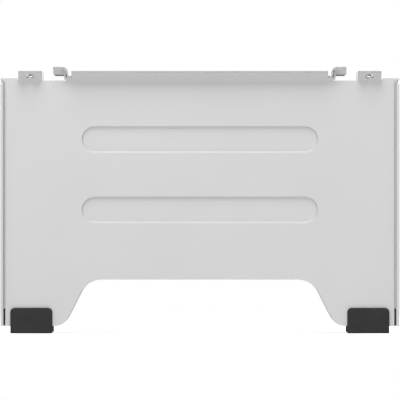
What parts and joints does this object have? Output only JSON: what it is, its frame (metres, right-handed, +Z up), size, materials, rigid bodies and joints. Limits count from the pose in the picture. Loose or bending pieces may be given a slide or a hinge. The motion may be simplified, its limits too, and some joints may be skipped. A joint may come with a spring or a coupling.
{
  "type": "cpu holder",
  "caption": "Floor-standing holder for a computer case: two folded steel side panels on rubber feet, joined by a shelf that slides to set the width and locks with knobs.",
  "frame": {"origin": "on the floor, under the middle of the holder at its rest width", "axes": "+X along the side panels, +Y from the fixed panel to the sliding one, +Z up"},
  "size_m": [0.4, 0.2264, 0.2674],
  "materials": {
    "powder_coat": "fine textured light grey powder coat",
    "foot_rubber": "matte moulded rubber",
    "pad_rubber": "matte moulded rubber, ribbed",
    "zinc": "bright zinc plate",
    "nylon": "natural nylon",
    "knob_plastic": "satin moulded plastic"
  },
  "bodies": {
    "fixed_half": {"near_panel": "powder_coat", "near_foot_left": "foot_rubber", "near_foot_right": "foot_rubber", "near_rib_pad_upper": "pad_rubber", "near_rib_pad_lower": "pad_rubber", "near_shelf": "powder_coat", "near_shelf_mat": "pad_rubber", "near_studs": "zinc", "near_nuts": "zinc", "clinch_nut_left": "zinc", "clinch_nut_right": "zinc", "glide_left": "nylon", "glide_right": "nylon"},
    "sliding_half": {"far_panel": "powder_coat", "far_foot_left": "foot_rubber", "far_foot_right": "foot_rubber", "far_rib_pad_upper": "pad_rubber", "far_rib_pad_lower": "pad_rubber", "far_shelf": "powder_coat", "far_shelf_mat": "pad_rubber", "far_studs": "zinc", "far_nuts": "zinc"},
    "lock_knob_left": {"knob_left": "knob_plastic", "knob_stud_left": "zinc", "knob_washer_left": "zinc"},
    "lock_knob_right": {"knob_right": "knob_plastic", "knob_stud_right": "zinc", "knob_washer_right": "zinc"}
  },
  "joints": [
    {"name": "width_slide", "type": "slide", "parent": "fixed_half", "child": "sliding_half", "axis": [0, 1, 0], "range_m": [-0.045, 0.035]},
    {"name": "knob_left_turn", "type": "hinge", "parent": "fixed_half", "child": "lock_knob_left", "pos_m": [-0.155, 0.005, 0.0558], "axis": [0, 0, 1], "continuous": true},
    {"name": "knob_right_turn", "type": "hinge", "parent": "fixed_half", "child": "lock_knob_right", "pos_m": [0.155, 0.005, 0.0558], "axis": [0, 0, 1], "continuous": true}
  ]
}
